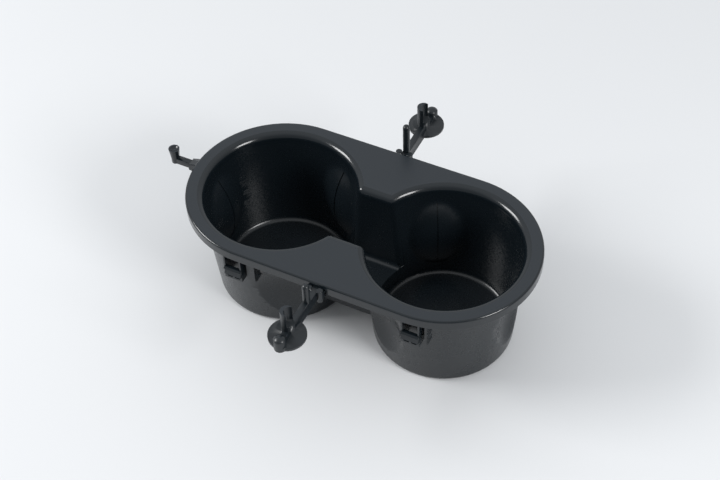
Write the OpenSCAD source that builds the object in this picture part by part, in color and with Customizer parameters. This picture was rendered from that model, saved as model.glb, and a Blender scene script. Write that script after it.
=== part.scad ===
/* [Flange] */
// Distance between the centres of the two wells
well_pitch = 94; // [88:1:104]
// Width of the flange, front edge to back edge
flange_w = 100; // [99:1:110]
// Height of the flange's top face above the table
top_h = 64; // [58:1:74]
// Thickness of the flange plate
plate_t = 2.2; // [1.8:0.1:3]
// Height of the turned-down rim, from the top face
rim_h = 5.5; // [4:0.5:8]
// Wall of the turned-down rim
rim_t = 1.8; // [1.4:0.1:2.4]
// Rounding of the flange's outer top edge
edge_round = 1.2; // [0.6:0.1:1.8]

/* [Wells] */
// Inner radius of a well just under its rolled lip
mouth_r = 40.2; // [38:0.1:41]
// Outer radius of a cup where it meets the table
base_r = 37.5; // [35:0.1:38]
// Wall of the cups
wall = 2; // [1.6:0.1:2.4]
// Radius of the rolled lip round the wells and the channel
lip_r = 4; // [3:0.1:4.5]
// Rounding between a cup's wall and its floor
floor_round = 3; // [2:0.5:5]
// Thickness of a cup's floor
floor_t = 2.3; // [1.8:0.1:3]

/* [Channel] */
// Half the width of the channel between the wells, at its walls
channel_half = 16.4; // [12:0.1:18]
// Depth of the channel below the top face
channel_depth = 51; // [40:1:52]
// Radius of the corner where the channel opens into a well
nose_r = 4.5; // [4.5:0.1:6]

/* [Grip bulges] */
// Radius of the ball-shaped bulges that steady a cup
bulge_r = 44; // [40:1:48]
// How far a bulge stands into the well
bulge_in = 6; // [4:0.5:8]
// Height of the bulges' middle above the table
bulge_z = 28; // [26:0.5:32]
// Width of the fine groove along a bulge's crest
groove_w = 0.8; // [0.5:0.1:1.2]
// Depth of that groove
groove_d = 0.5; // [0.3:0.1:0.8]

/* [Snap clips] */
// Distance of a clip's centre from the middle of the part
clip_x = 50.1; // [46:0.1:54]
// Width of a clip's window
window_w = 8.2; // [6:0.1:9]
// Height of a clip's window
window_h = 9.4; // [7:0.1:11]
// Distance from the part's middle to a clip's front face
clip_face = 48; // [47:0.1:48.2]

/* [Runner tails] */
// Distance from the middle to the centre of a runner's disc
disc_y = 80.4; // [74:0.1:90]
// Radius of a runner's disc
disc_r = 9.7; // [7:0.1:12]
// Thickness of a runner's disc
disc_t = 1.4; // [1:0.1:2]
// Distance from the middle to a runner's end stub
stub_y = 87.6; // [84:0.1:94]
// Width of a runner at its foot
runner_w = 5; // [4:0.1:6]
// Height of a runner
runner_h = 4.8; // [4:0.1:6]
// Distance from the middle to the peg on the left tail
peg_x = 111.8; // [106:0.1:118]
// Radius of that peg at its top
peg_r = 3; // [2:0.1:4]

/* [Hidden] */
$fn = 96;
flange_r = flange_w / 2;
half_pitch = well_pitch / 2;
eps = 0.01;
lip_low = top_h - lip_r;
plate_low = top_h - plate_t;
draft = atan((mouth_r + wall - base_r) / lip_low);
arc_steps = 8;
channel_floor = top_h - channel_depth;
bulge_centre = mouth_r - (lip_low - bulge_z) * tan(draft) - bulge_in + bulge_r;
nose_x = sqrt(pow(mouth_r + nose_r, 2) - pow(channel_half + nose_r, 2));
low_r = mouth_r - (lip_low - channel_floor) * tan(draft);
low_nose_x = sqrt(pow(low_r + nose_r, 2) - pow(channel_half + nose_r, 2));
nose_tilt = atan((nose_x - low_nose_x) / (lip_low - channel_floor));
reach_left = peg_x + peg_r;
reach_right = half_pitch + flange_r;
shift_x = (reach_left - reach_right) / 2;
runner_top = top_h - 2.4;
disc_top = top_h - 4.7;
post_r = 1.9;
stub_r = 3.2;

// Points of an arc about [x, y], from angle a to angle b
function arc(x, y, r, a, b) =
    [for (i = [0 : arc_steps]) let (t = a + (b - a) * i / arc_steps) [x + r * cos(t), y + r * sin(t)]];

// Section of the flange from its middle line to its outer edge
function flange_section() = concat(
    [[0, plate_low], [flange_r - rim_t, plate_low], [flange_r - rim_t, top_h - rim_h], [flange_r, top_h - rim_h]],
    arc(flange_r - edge_round, top_h - edge_round, edge_round, 0, 90),
    [[0, top_h]]
);

// Section of a cup's outside, with the thickened root of the lip at the top
function cup_section() = concat(
    [[0, 0]],
    arc(base_r - floor_round, floor_round, floor_round, -90, -draft),
    [[mouth_r + wall, lip_low - wall], [mouth_r + lip_r + eps, plate_low + eps], [0, plate_low + eps]]
);

// Section of the space inside a well, opening out over the rolled lip
function well_section() = concat(
    [[0, floor_t]],
    arc(base_r - wall - floor_round + floor_t * tan(draft), floor_t + floor_round, floor_round, -90, -draft),
    arc(mouth_r + lip_r, lip_low, lip_r, 180, 90),
    [[mouth_r + lip_r, top_h + 1], [0, top_h + 1]]
);

// Section of half the channel, with the same rolled lip
function channel_section() = concat(
    [[0, channel_floor]],
    arc(channel_half - floor_round, channel_floor + floor_round, floor_round, -90, 0),
    arc(channel_half + lip_r, lip_low, lip_r, 180, 90),
    [[channel_half + lip_r, top_h + 1], [0, top_h + 1]]
);

// Section of the rounded corner post between channel and well
function nose_section() = concat(
    [[0, channel_floor - 10], [nose_r, channel_floor - 10]],
    arc(nose_r - lip_r, lip_low, lip_r, 0, 90),
    [[0, top_h]]
);

module run_along_x(length) {
    rotate([90, 0, 90]) linear_extrude(length, center = true) children();
}

module mirrored_half() {
    children();
    mirror([1, 0]) children();
}

// The flat land with its turned-down rim, round at both ends
module flange() {
    for (side = [-1, 1]) {
        translate([side * half_pitch, 0, 0]) rotate_extrude() polygon(flange_section());
    }
    run_along_x(well_pitch) mirrored_half() polygon(flange_section());
}

// Balls round one well; the turn of 180 degrees mirrors them for the left well
module bulge_balls(radius) {
    for (angle = [0, 120, 240]) {
        rotate(angle) translate([bulge_centre, 0, bulge_z]) sphere(radius);
    }
}

// Outside of one cup, dimpled where a bulge stands into the well
module cup_outside() {
    difference() {
        rotate_extrude() polygon(cup_section());
        bulge_balls(bulge_r - wall);
    }
}

// Fine groove down the crest of each bulge
module crest_grooves() {
    intersection() {
        rotate_extrude() polygon(well_section());
        for (angle = [0, 120, 240]) {
            rotate(angle) translate([bulge_centre, 0, bulge_z]) rotate([90, 0, 0]) difference() {
                cylinder(r = bulge_r + 2, h = groove_w, center = true);
                cylinder(r = bulge_r - groove_d, h = 2 * groove_w, center = true);
            }
        }
    }
}

// Space inside one well
module well_space() {
    difference() {
        rotate_extrude() polygon(well_section());
        bulge_balls(bulge_r);
    }
    crest_grooves();
}

// Places a child in both wells, turned so that the outer bulges face outwards
module both_wells() {
    translate([half_pitch, 0, 0]) children();
    translate([-half_pitch, 0, 0]) rotate(180) children();
}

// Outside of the channel that joins the cups
module channel_outside() {
    reach = half_pitch - mouth_r + 10;
    outside_half = channel_half + wall;
    translate([-reach, -outside_half, channel_floor - wall])
        cube([2 * reach, 2 * outside_half, plate_low - channel_floor + wall + eps]);
}

module channel_space() {
    run_along_x(2 * (half_pitch - mouth_r + 9)) mirrored_half() polygon(channel_section());
}

// What is cut off the sharp corner to leave the rounded post, for the corner at +X +Y
module nose_cut() {
    translate([half_pitch - nose_x, channel_half + nose_r, 0])
    translate([0, 0, lip_low]) rotate([0, -nose_tilt, 0]) translate([0, 0, -lip_low]) difference() {
        translate([0, 0, channel_floor + eps]) linear_extrude(channel_depth + 1) polygon([
            [0, 0],
            [0, -nose_r],
            [nose_r * 0.9, -nose_r - 1],
            [nose_r * nose_x / (mouth_r + nose_r), -nose_r * (channel_half + nose_r) / (mouth_r + nose_r)]
        ]);
        rotate_extrude() polygon(nose_section());
    }
}

module nose_cuts() {
    for (turn = [0, 1], side = [0, 1]) {
        mirror([turn, 0, 0]) mirror([0, side, 0]) nose_cut();
    }
}

// A snap clip at the front: a window in a tower, over a wedge with two slots under it
module snap_clip(cheek_w) {
    window_top = top_h - 5.7;
    window_low = window_top - window_h;
    half = window_w / 2;
    tower_back = 38;
    post_w = 0.9;
    wedge_out = 1.8;
    foot_low = window_low - 8.4;
    // Side posts, back wall and the foot under the wedge
    difference() {
        translate([-half - post_w, -clip_face, foot_low])
            cube([window_w + 2 * post_w, clip_face - tower_back, plate_low - foot_low + eps]);
        translate([-half, -clip_face - 1, window_low]) cube([window_w, clip_face - 43, window_h + 4]);
        for (side = [-1, 1]) {
            translate([side * half / 2 - 1.5, -clip_face - 1, foot_low + 1.1]) cube([3, 4, 1.5]);
        }
    }
    // Wedge that the panel snaps over
    rotate([90, 0, 90]) linear_extrude(window_w + 1.2, center = true) polygon([
        [-clip_face + 1, window_low],
        [-clip_face - 0.4, window_low],
        [-clip_face - wedge_out, window_low - 1.6],
        [-clip_face - wedge_out, window_low - 4.2],
        [-clip_face - 0.6, window_low - 5.4],
        [-clip_face + 1, window_low - 5.4]
    ]);
    // Cheek beside the tower, with its lower corner cut off
    cheek_x = half + 2.6;
    cheek_y = 45.5;
    rotate([90, 0, 90]) translate([0, 0, cheek_x]) linear_extrude(cheek_w) polygon([
        [-cheek_y, plate_low],
        [-cheek_y, foot_low + 1],
        [-cheek_y + 1.6, foot_low - 0.6],
        [-tower_back, foot_low - 0.6],
        [-tower_back, plate_low]
    ]);
}

// Runner with its disc, puller post, end stub and twin gate, going out along -Y
module runner_tail(post_y, post_top) {
    gate_y = flange_r + 2.2;
    run_start = flange_r - 3;
    foot = runner_w / 2;
    crown = foot - 0.7;
    // Trapezoid bar
    rotate([90, 0, 0]) translate([0, 0, run_start]) linear_extrude(stub_y - run_start) polygon([
        [-foot, runner_top - runner_h],
        [foot, runner_top - runner_h],
        [crown, runner_top],
        [-crown, runner_top]
    ]);
    translate([0, -disc_y, disc_top - disc_t]) cylinder(r = disc_r, h = disc_t);
    // End stub with a domed top
    translate([0, -stub_y, runner_top - runner_h]) cylinder(r = stub_r, h = runner_h + 1.6);
    translate([0, -stub_y, runner_top + 1.6]) intersection() {
        translate([0, 0, -2.2]) sphere(sqrt(pow(stub_r, 2) + pow(2.2, 2)));
        cylinder(r = stub_r, h = 3);
    }
    // Puller at the disc: a blade curved round a hollow, open on one side
    translate([-0.6, -disc_y + 2.4, disc_top]) difference() {
        cylinder(r = 3.4, h = 14.5);
        translate([1.6, 0, 5.5]) cylinder(r = 3.1, h = 10);
        translate([1.2, -5, 5.5]) cube([6, 10, 10]);
    }
    // Ejector post near the flange
    translate([0, -post_y, runner_top - 1]) cylinder(r = post_r, h = post_top - runner_top);
    translate([0, -post_y, post_top - 1]) sphere(post_r);
    // Twin gate legs under the flange
    for (side = [-1, 1]) {
        translate([side * 3.1, -gate_y, runner_top - runner_h - 1.6]) cylinder(r = 1.7, h = runner_h + 2.6);
    }
    translate([-4.6, -gate_y, runner_top - runner_h]) cube([9.2, gate_y - run_start, runner_h - 0.8]);
}

// Tail at the left end: a thin bar with an upright peg, dished on top
module peg_tail() {
    bar_w = 3.2;
    bar_low = top_h - 6.8;
    peg_low = top_h - 5.2;
    peg_h = 7.8;
    gate_l = 5;
    translate([-peg_x, -bar_w / 2, bar_low]) cube([peg_x - reach_right + gate_l, bar_w, 3.4]);
    translate([-peg_x, 0, bar_low]) cylinder(r = 2.2, h = 3.4);
    difference() {
        translate([-peg_x, 0, peg_low]) cylinder(r1 = 2.1, r2 = peg_r, h = peg_h);
        translate([-peg_x, 0, peg_low + peg_h + 2.4]) sphere(3.3);
    }
    rotate([90, 0, 0]) translate([-reach_right, 0, 0]) linear_extrude(5.6, center = true) polygon([
        [-gate_l, bar_low],
        [-gate_l, bar_low + 3.4],
        [0.6, top_h - 1.6],
        [0.6, bar_low - 0.6]
    ]);
}

// Notch in the rim where a runner's gate enters
module gate_notch() {
    translate([-5.4, -flange_r - 1, top_h - rim_h - 1]) cube([10.8, rim_t + 1.2, rim_h - plate_t + 1 - 0.4]);
}

// The whole moulding: one piece with its runner tails still on
module cup_holder() {
    front_post_y = 60;
    back_post_y = 55;
    color([0.07, 0.075, 0.085]) translate([shift_x, 0, 0]) {
        difference() {
            union() {
                difference() {
                    flange();
                    gate_notch();
                    mirror([0, 1, 0]) gate_notch();
                }
                both_wells() cup_outside();
                channel_outside();
                translate([clip_x, 0, 0]) snap_clip(1.3);
                translate([-clip_x, 0, 0]) snap_clip(4.6);
                rotate(180) translate([clip_x, 0, 0]) snap_clip(1.3);
                rotate(180) translate([-clip_x, 0, 0]) snap_clip(4.6);
            }
            both_wells() well_space();
            channel_space();
            nose_cuts();
        }
        runner_tail(front_post_y, top_h + 9);
        mirror([0, 1, 0]) runner_tail(back_post_y, top_h + 15.5);
        peg_tail();
    }
}

cup_holder();
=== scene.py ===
import math

import bpy
import numpy as np
from mathutils import Matrix, Vector


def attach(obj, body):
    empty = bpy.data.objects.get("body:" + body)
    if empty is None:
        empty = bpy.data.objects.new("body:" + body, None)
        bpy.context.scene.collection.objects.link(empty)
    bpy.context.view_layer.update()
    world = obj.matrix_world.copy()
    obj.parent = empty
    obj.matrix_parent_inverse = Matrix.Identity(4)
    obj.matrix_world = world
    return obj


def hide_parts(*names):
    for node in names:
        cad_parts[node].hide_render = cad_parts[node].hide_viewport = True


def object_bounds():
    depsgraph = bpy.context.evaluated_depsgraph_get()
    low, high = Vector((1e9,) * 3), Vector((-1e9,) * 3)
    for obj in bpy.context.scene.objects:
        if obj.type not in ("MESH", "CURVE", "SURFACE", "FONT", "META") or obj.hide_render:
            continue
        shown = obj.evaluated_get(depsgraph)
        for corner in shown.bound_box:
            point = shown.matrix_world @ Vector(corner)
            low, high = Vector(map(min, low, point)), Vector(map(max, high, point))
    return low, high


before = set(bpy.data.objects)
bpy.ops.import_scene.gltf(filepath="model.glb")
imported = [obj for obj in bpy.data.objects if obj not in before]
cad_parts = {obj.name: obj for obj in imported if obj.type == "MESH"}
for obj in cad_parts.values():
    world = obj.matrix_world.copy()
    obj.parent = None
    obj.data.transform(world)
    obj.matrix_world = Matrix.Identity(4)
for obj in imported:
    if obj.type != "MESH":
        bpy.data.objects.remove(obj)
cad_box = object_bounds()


# The moulding: wells, channel, flange, snap clips and runner tails in one shot of black
# ABS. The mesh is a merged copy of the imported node, which already has these forms. Sizes
# are in millimetres, with x and y from the middle between the wells and z from the table.
MM = 0.001
FLANGE_LENGTH = 194
FLANGE_RADIUS = 50
FLANGE_TOP = 64
FLANGE_EDGE_ROUND = 1.2
WELL_X = 47
MOUTH_RADIUS = 40.2
BASE_RADIUS = 37.5
WALL = 2
LIP_RADIUS = 4
LIP_LOW = FLANGE_TOP - LIP_RADIUS
FLOOR = 2.3
FLOOR_ROUND = 3
DRAFT = math.atan((MOUTH_RADIUS + WALL - BASE_RADIUS) / LIP_LOW)
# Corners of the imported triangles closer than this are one
MERGE_GAP = 0.002

middle_x = cad_box[1][0] / MM - FLANGE_LENGTH / 2
cad_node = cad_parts["cup_holder"]
bpy.ops.object.select_all(action="DESELECT")
cad_node.select_set(True)
bpy.context.view_layer.objects.active = cad_node
bpy.ops.object.duplicate()
moulding = bpy.context.object
moulding.name = "moulding"
bpy.ops.object.mode_set(mode="EDIT")
bpy.ops.mesh.select_all(action="SELECT")
bpy.ops.mesh.remove_doubles(threshold=MERGE_GAP * MM)
bpy.ops.object.mode_set(mode="OBJECT")


# The snap clips, part of the same shot, two on each long side. A core pin leaves the space
# behind each window open to below, and the wedge under the window is cut back to taper
# towards its foot, so that it slides past the edge of the console's cut-out.
CLIP_X = 50.1
CLIP_FACE = 48
WINDOW_WIDTH = 8.2
WINDOW_LOW = 48.9
CORE_FRONT = CLIP_FACE - 1.4
CORE_REAR = CLIP_FACE - 5.6
CORE_LOW = WINDOW_LOW - 12
CORE_HIGH = FLANGE_TOP - 5.7
# The block that cuts the wedge back: its size, its middle, and its tip off upright
TAPER_SIZE = (12, 4, 7)
TAPER_OUT = CLIP_FACE + 2.95
TAPER_Z = WINDOW_LOW - 4
TAPER_TIP = math.atan2(1.7, 4.0)


def cutting_block(centre, size, tip=0):
    """A block to cut with, by its middle and size, tipped about the X axis."""
    bpy.ops.object.select_all(action="DESELECT")
    bpy.ops.mesh.primitive_cube_add(size=1, location=[value * MM for value in centre])
    block = bpy.context.object
    block.scale = [value * MM for value in size]
    block.rotation_euler = (tip, 0, 0)
    bpy.ops.object.transform_apply(location=True, rotation=True, scale=True)
    return block


def core_pin(x, side):
    """The space behind a clip's window, on the front side for 1 and the rear for -1."""
    return cutting_block(
        (middle_x + x, -side * (CORE_FRONT + CORE_REAR) / 2, (CORE_LOW + CORE_HIGH) / 2),
        (WINDOW_WIDTH, CORE_FRONT - CORE_REAR, CORE_HIGH - CORE_LOW))


def wedge_taper(x, side):
    """What is taken off a clip's wedge, on the front side for 1 and the rear for -1."""
    return cutting_block((middle_x + x, -side * TAPER_OUT, TAPER_Z), TAPER_SIZE, -side * TAPER_TIP)


def cut_away(block):
    """Takes a block out of the moulding, and deletes the block."""
    bpy.ops.object.select_all(action="DESELECT")
    moulding.select_set(True)
    bpy.context.view_layer.objects.active = moulding
    cut = moulding.modifiers.new("cut", "BOOLEAN")
    cut.operation = "DIFFERENCE"
    cut.solver = "EXACT"
    cut.object = block
    bpy.ops.object.modifier_apply(modifier=cut.name)
    bpy.data.objects.remove(block, do_unlink=True)


for side in (1, -1):
    for x in (CLIP_X, -CLIP_X):
        cut_away(core_pin(x, side))
        cut_away(wedge_taper(x, side))


# The polished skin: the cavity and core of the tool are turned and ball-nosed, so the walls
# shade without facets. The tall walls get level rings of vertices, and each corner gets the
# normal of the cone, ball or round that it lies on, blended where a bulge meets the wall.
RING_STEP = 2.45
SHARP_ANGLE = math.radians(24)
NORMAL_WEIGHT = 80
BULGE_RADIUS = 44
BULGE_IN = 6
BULGE_Z = 28
BULGE_ANGLES = (0, 120, 240)
BULGE_BLEND = 1.5
CHANNEL_HALF = 16.4
CHANNEL_REACH = 13
# A corner this close to a surface lies on it, if its face agrees by this cosine
NEAR = 0.12
AGREES = 0.8
TINY = 1e-9


class Skin:
    """The corners of a mesh's faces, and the normal that each of them is to have."""

    def __init__(self, mesh):
        count = len(mesh.loops)
        vertex = np.empty(count, int)
        mesh.loops.foreach_get("vertex_index", vertex)
        points = np.empty(len(mesh.vertices) * 3)
        mesh.vertices.foreach_get("co", points)
        normals = np.empty(count * 3)
        mesh.corner_normals.foreach_get("vector", normals)
        self.starts = np.array([face.loop_start for face in mesh.polygons])
        corners = np.array([face.loop_total for face in mesh.polygons])
        self.face = np.repeat(np.arange(len(self.starts)), corners)
        self.facing = np.array([face.normal for face in mesh.polygons])[self.face]
        self.corner = (points.reshape(-1, 3) / MM - (middle_x, 0, 0))[vertex]
        self.normals = normals.reshape(-1, 3)

    def settle(self, on_surface, direction):
        """Gives a surface's normals to the faces that have every corner on it."""
        length = np.linalg.norm(direction, axis=1, keepdims=True)
        direction = direction / np.maximum(length, TINY)
        along = (direction * self.facing).sum(1)
        good = on_surface & (np.abs(along) > AGREES)
        whole = np.minimum.reduceat(good.astype(int), self.starts)[self.face].astype(bool)
        self.normals[whole] = (direction * np.sign(along)[:, None])[whole]


def settle_well(skin, side):
    """The cone, bulges and rounds of one well, the right one for 1 and the left for -1."""
    local = skin.corner * (side, side, 1) - (WELL_X, 0, 0)
    spread = np.hypot(local[:, 0], local[:, 1])
    out = side * local[:, :2] / np.maximum(spread, TINY)[:, None]
    height = skin.corner[:, 2]

    def turned(radial, rise):
        """Directions about the well's axis, by their outward and upward parts."""
        return np.column_stack((out * np.reshape(radial, (-1, 1)), np.broadcast_to(rise, height.shape)))

    inner_radius = MOUTH_RADIUS - (LIP_LOW - height) * math.tan(DRAFT)
    outer_radius = BASE_RADIUS + height * math.tan(DRAFT)
    bulge_wall = MOUTH_RADIUS - (LIP_LOW - BULGE_Z) * math.tan(DRAFT)
    bulge_centre = bulge_wall - BULGE_IN + BULGE_RADIUS
    for cone_radius, ball_radius in ((inner_radius, BULGE_RADIUS), (outer_radius, BULGE_RADIUS - WALL)):
        past_cone = spread - cone_radius
        on_wall = np.abs(past_cone) < NEAR
        direction = turned(-math.cos(DRAFT), math.sin(DRAFT))
        for angle in BULGE_ANGLES:
            turn = math.radians(angle)
            ball = local - (bulge_centre * math.cos(turn), bulge_centre * math.sin(turn), BULGE_Z)
            reach = np.linalg.norm(ball, axis=1)
            past_ball = reach - ball_radius
            share = np.clip(0.5 - 0.5 * (past_cone + past_ball) / BULGE_BLEND, 0, 1)
            share = (share * share * (3 - 2 * share))[:, None]
            direction = direction * (1 - share) + ball * (side, side, 1) / reach[:, None] * share
            on_wall |= (np.abs(past_ball) < NEAR) & (past_cone < NEAR)
        skin.settle(on_wall, direction)
    rolled_lip = (MOUTH_RADIUS + LIP_RADIUS, LIP_LOW, LIP_RADIUS)
    flange_edge = (FLANGE_RADIUS - FLANGE_EDGE_ROUND, FLANGE_TOP - FLANGE_EDGE_ROUND, FLANGE_EDGE_ROUND)
    inside_floor = BASE_RADIUS - WALL - FLOOR_ROUND + FLOOR * math.tan(DRAFT)
    floor_inside = (inside_floor, FLOOR + FLOOR_ROUND, FLOOR_ROUND)
    floor_outside = (BASE_RADIUS - FLOOR_ROUND, FLOOR_ROUND, FLOOR_ROUND)
    for ring_radius, level, radius in (rolled_lip, flange_edge, floor_inside, floor_outside):
        radial = spread - ring_radius
        rise = height - level
        skin.settle(np.abs(np.hypot(radial, rise) - radius) < NEAR, turned(radial, rise))


def settle_channel_lip(skin, side):
    """The rolled lip along one side of the channel."""
    across = skin.corner - (0, side * (CHANNEL_HALF + LIP_RADIUS), LIP_LOW)
    across[:, 0] = 0
    on_round = np.abs(np.hypot(across[:, 1], across[:, 2]) - LIP_RADIUS) < NEAR
    skin.settle(on_round & (np.abs(skin.corner[:, 0]) < CHANNEL_REACH), across)


bpy.ops.object.select_all(action="DESELECT")
moulding.select_set(True)
bpy.context.view_layer.objects.active = moulding
bpy.ops.object.mode_set(mode="EDIT")
for ring in range(1, int(LIP_LOW / RING_STEP) + 1):
    bpy.ops.mesh.select_all(action="SELECT")
    bpy.ops.mesh.bisect(plane_co=(0, 0, ring * RING_STEP * MM), plane_no=(0, 0, 1))
bpy.ops.object.mode_set(mode="OBJECT")
bpy.ops.object.shade_smooth_by_angle(angle=SHARP_ANGLE)
weighted = moulding.modifiers.new("weighted", "WEIGHTED_NORMAL")
weighted.keep_sharp = True
weighted.weight = NORMAL_WEIGHT
bpy.ops.object.modifier_apply(modifier=weighted.name)
skin = Skin(moulding.data)
for side in (1, -1):
    settle_well(skin, side)
for side in (1, -1):
    settle_channel_lip(skin, side)
moulding.data.normals_split_custom_set(skin.normals.tolist())


# Black ABS as it leaves the tool: the flange's flat land is spark-eroded to a fine satin,
# and its lighter grey colour on the upward faces is a painted sheen of the overhead light;
# the rolled lips are the glossiest, the other walls are polished a little less, and the
# runners keep the dull skin of cold channels.
BLACK = (0.0060, 0.0092, 0.0120, 1)
# Painted sheen: the lighter grey that stands in for the overhead light on the land's upward faces
LAND_SHEEN_GREY = (0.0110, 0.0155, 0.0205, 1)
WALL_ROUGH = 0.27
LIP_ROUGH = 0.16
LAND_ROUGH = 0.40
RUNNER_ROUGH = 0.33
PLASTIC_IOR = 1.52
# Lengths in metres from here on, as the Object coordinates are
LAND_TOP = FLANGE_TOP * MM
LAND_BAND = 0.35 * MM
LIP_START = (LIP_LOW - 3) * MM
LIP_FULL = LIP_LOW * MM
RUNNER_START = (FLANGE_RADIUS + 0.2) * MM
RUNNER_FULL = (FLANGE_RADIUS + 1.2) * MM
# How far upwards a face has to look to be land
LEVEL_START = 0.985
LEVEL_FULL = 0.998
GRAIN_SCALE = 5200
FLOW_SCALE = 38
SCUFF_SCALE = 420
SCUFF_START = 0.56
SCUFF_FULL = 0.74
# How strongly the flow marks and scuffs change tone, roughness and relief
TINT_LEAST = 0.92
TINT_FLOW = 0.16
ROUGH_FLOW = 0.05
ROUGH_SCUFF = 0.04
BUMP_FLOW = 0.15
BUMP_STRENGTH = 0.06
BUMP_DEPTH = 0.12 * MM


class Socket:
    """A node's output, with arithmetic that adds Math nodes."""

    def __init__(self, tree, output):
        self.tree = tree
        self.output = output

    def math(self, operation, *values):
        return node(self.tree, "ShaderNodeMath", {"operation": operation}, dict(enumerate(values)))

    def __add__(self, other):
        return self.math("ADD", self, other)

    def __radd__(self, other):
        return self.math("ADD", other, self)

    def __sub__(self, other):
        return self.math("SUBTRACT", self, other)

    def __rsub__(self, other):
        return self.math("SUBTRACT", other, self)

    def __mul__(self, other):
        return self.math("MULTIPLY", self, other)

    def __rmul__(self, other):
        return self.math("MULTIPLY", other, self)

    def ramp(self, low, high):
        """0 below low, 1 above high, smooth between them."""
        settings = {"interpolation_type": "SMOOTHSTEP"}
        values = {"Value": self, "From Min": low, "From Max": high}
        return node(self.tree, "ShaderNodeMapRange", settings, values)


def node(tree, kind, settings, values, output=0):
    """Adds a node with its settings and its inputs' values or links, and gives one output."""
    made = tree.nodes.new(kind)
    for name, value in settings.items():
        setattr(made, name, value)
    for name, value in values.items():
        if isinstance(value, Socket):
            tree.links.new(value.output, made.inputs[name])
        else:
            made.inputs[name].default_value = value
    return Socket(tree, made.outputs[output])


def new_material(name):
    """A material with a plain Principled shader, and its node tree."""
    material = bpy.data.materials.new(name)
    material.use_nodes = True
    tree = material.node_tree
    return material, tree, tree.nodes["Principled BSDF"]


def feed(tree, shader, name, value):
    """Links a value to a shader's socket."""
    tree.links.new(value.output, shader.inputs[name])


def noise(tree, place, scale, detail):
    """A cloud of values round a half, at a scale in patches per metre."""
    return node(tree, "ShaderNodeTexNoise", {}, {"Vector": place, "Scale": scale, "Detail": detail})


def colour_mix(tree, share, first, second):
    """The first colour where share is 0, and the second where it is 1."""
    return node(tree, "ShaderNodeMix", {"data_type": "RGBA"}, {0: share, 6: first, 7: second}, 2)


plastic, tree, shader = new_material("black_abs")
place = node(tree, "ShaderNodeTexCoord", {}, {}, "Object")
height = node(tree, "ShaderNodeSeparateXYZ", {}, {0: place}, "Z")
depth = node(tree, "ShaderNodeSeparateXYZ", {}, {0: place}, "Y")
normal = node(tree, "ShaderNodeNewGeometry", {}, {}, "Normal")
upwards = node(tree, "ShaderNodeSeparateXYZ", {}, {0: normal}, "Z")
level = upwards.ramp(LEVEL_START, LEVEL_FULL)
land = height.ramp(LAND_TOP - LAND_BAND, LAND_TOP - LAND_BAND / 3) * level
lip = height.ramp(LIP_START, LIP_FULL) * (1 - land)
runner = depth.math("ABSOLUTE", depth).ramp(RUNNER_START, RUNNER_FULL)
grain = noise(tree, place, GRAIN_SCALE, 2.0)
flow = noise(tree, place, FLOW_SCALE, 3.0)
scuffs = noise(tree, place, SCUFF_SCALE, 5.0).ramp(SCUFF_START, SCUFF_FULL)
# The land's upward faces are painted the lighter sheen grey (painted sheen), varied by the flow marks
feed(tree, shader, "Base Color", colour_mix(tree, land * (TINT_LEAST + TINT_FLOW * flow), BLACK, LAND_SHEEN_GREY))
rough = (WALL_ROUGH + land * (LAND_ROUGH - WALL_ROUGH) + lip * (LIP_ROUGH - WALL_ROUGH)
         + runner * (RUNNER_ROUGH - LIP_ROUGH))
feed(tree, shader, "Roughness", rough + ROUGH_FLOW * (flow - 0.5) + ROUGH_SCUFF * scuffs)
relief = {"Strength": BUMP_STRENGTH, "Distance": BUMP_DEPTH, "Height": land * grain + BUMP_FLOW * flow}
feed(tree, shader, "Normal", node(tree, "ShaderNodeBump", {}, relief))
shader.inputs["IOR"].default_value = PLASTIC_IOR
moulding.data.materials.clear()
moulding.data.materials.append(plastic)
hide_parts("cup_holder")
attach(moulding, "root")


# The table: one pale sheet, far wider than the view, with a slight unevenness so that
# it isn't a flat colour.
FLOOR_SIZE = 6.0
FLOOR_COLOUR = (0.720, 0.728, 0.738, 1)
FLOOR_SHADE = (0.690, 0.698, 0.710, 1)
FLOOR_ROUGH = 0.75
CLOUD_SCALE = 3.0

bpy.ops.object.select_all(action="DESELECT")
bpy.ops.mesh.primitive_plane_add(size=FLOOR_SIZE)
table = bpy.context.object
table.name = "table"
paper, tree, shader = new_material("pale_sheet")
place = node(tree, "ShaderNodeTexCoord", {}, {}, "Object")
cloud = noise(tree, place, CLOUD_SCALE, 2.0)
feed(tree, shader, "Base Color", colour_mix(tree, cloud, FLOOR_COLOUR, FLOOR_SHADE))
shader.inputs["Roughness"].default_value = FLOOR_ROUGH
table.data.materials.append(paper)


# Soft studio light: two softboxes, left and right, give the bright crescents on the lips,
# and a pale room lights the rest. The room is brighter overhead and behind the part than
# on the camera's side.
LAMP_AIM = (0, 0, 0.03)
ROOM_DIM = 0.33
ROOM_BRIGHT = 0.80
ROOM_COLOUR = (0.94, 0.97, 1.0, 1)
OVERHEAD = (-0.25, 0.45, 0.86)
ROOM_TURN_START = -0.1
ROOM_TURN_FULL = 0.85


def softbox(name, place, size, power):
    """An area lamp at place, in metres, turned towards the part."""
    bpy.ops.object.light_add(type="AREA", location=place)
    lamp = bpy.context.object
    lamp.name = name
    lamp.data.shape = "RECTANGLE"
    lamp.data.size = size[0]
    lamp.data.size_y = size[1]
    lamp.data.energy = power
    lamp.rotation_euler = (Vector(LAMP_AIM) - Vector(place)).to_track_quat("-Z", "Y").to_euler()


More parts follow.
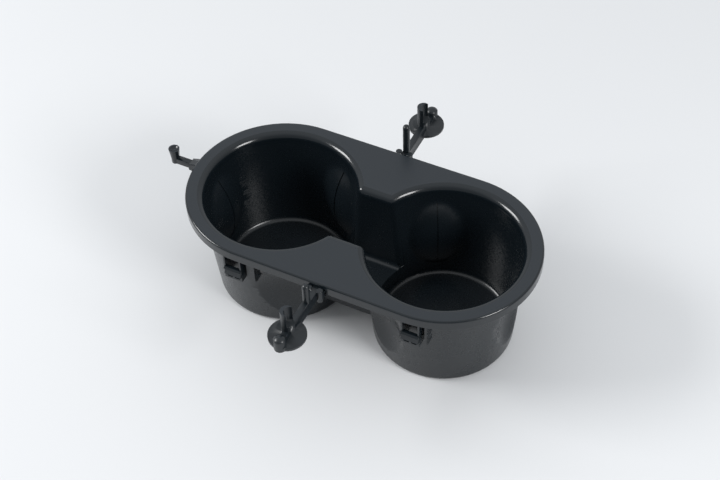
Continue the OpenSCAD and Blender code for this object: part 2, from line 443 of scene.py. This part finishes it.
softbox("key", place=(-1.18, -0.48, 0.84), size=(0.65, 0.50), power=15)
softbox("side", place=(1.17, -0.31, 0.74), size=(0.45, 0.45), power=10)

world = bpy.data.worlds.new("room")
bpy.context.scene.world = world
world.use_nodes = True
tree = world.node_tree
sky = tree.nodes["Background"]
direction = node(tree, "ShaderNodeTexCoord", {}, {}, "Generated")
turned_up = node(
    tree, "ShaderNodeVectorMath", {"operation": "DOT_PRODUCT"},
    {0: direction, 1: OVERHEAD}, "Value")
room = ROOM_DIM + (ROOM_BRIGHT - ROOM_DIM) * turned_up.ramp(ROOM_TURN_START, ROOM_TURN_FULL)
feed(tree, sky, "Strength", room)
sky.inputs["Color"].default_value = ROOM_COLOUR


# The camera stands front right, looking down at 48 degrees, where the photograph's
# perspective puts it: the flange's outline in the picture gives its place.
CAMERA_AZ = math.radians(28.319)
CAMERA_EL = math.radians(48.125)
CAMERA_ROLL = math.radians(-2.585)
CAMERA_DIST = 0.73002
LENS = 72.263
SENSOR = 36
# What it looks at: a point on the flange's top plane, from the middle between the wells
AIM = (0.006958, -0.014975, LAND_TOP)

back = Vector((
    math.sin(CAMERA_AZ) * math.cos(CAMERA_EL),
    -math.cos(CAMERA_AZ) * math.cos(CAMERA_EL),
    math.sin(CAMERA_EL)))
right = Vector((math.cos(CAMERA_AZ), math.sin(CAMERA_AZ), 0))
upward = back.cross(right)
rolled_right = math.cos(CAMERA_ROLL) * right + math.sin(CAMERA_ROLL) * upward
rolled_up = -math.sin(CAMERA_ROLL) * right + math.cos(CAMERA_ROLL) * upward
aim = Vector(AIM) + Vector((middle_x * MM, 0, 0))
bpy.ops.object.camera_add()
camera = bpy.context.object
camera.data.lens = LENS
camera.data.sensor_width = SENSOR
camera.data.sensor_fit = "HORIZONTAL"
turn = Matrix((rolled_right, rolled_up, back)).transposed().to_4x4()
camera.matrix_world = Matrix.Translation(aim + CAMERA_DIST * back) @ turn
bpy.context.scene.camera = camera
bpy.context.scene.view_settings.view_transform = "Standard"
